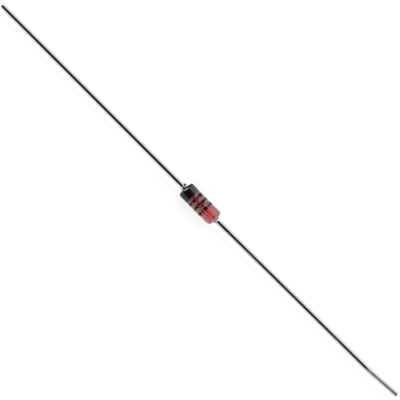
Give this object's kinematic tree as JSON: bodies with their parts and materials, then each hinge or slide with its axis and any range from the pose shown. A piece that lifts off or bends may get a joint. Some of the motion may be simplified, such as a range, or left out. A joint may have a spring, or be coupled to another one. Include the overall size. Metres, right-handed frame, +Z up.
{
  "type": "zener diode",
  "caption": "Glass axial zener diode: a chip pressed between metal slugs in a sealed glass sleeve, with a wire lead at each end and a dark band at the cathode end.",
  "frame": {"origin": "middle of the glass body, on the axis of the leads", "axes": "+X along the body from cathode to anode, +Z up as the part lies on a bench, and the anode lead leans and bends towards +Y"},
  "size_m": [0.0539, 0.0018, 0.0018],
  "materials": {
    "clear_glass": "polished",
    "black_ink": "satin",
    "red_slug": "satin",
    "silicon": "polished",
    "silver": "satin",
    "weld_metal": "satin",
    "tinned_wire": "gloss"
  },
  "bodies": {
    "root": {"glass_sleeve": "clear_glass", "cathode_band": "black_ink", "cathode_slug": "red_slug", "anode_slug": "red_slug", "zener_chip": "silicon", "contact_bump": "silver", "cathode_weld": "weld_metal", "anode_weld": "weld_metal", "cathode_lead": "tinned_wire", "anode_lead": "tinned_wire"}
  },
  "joints": []
}
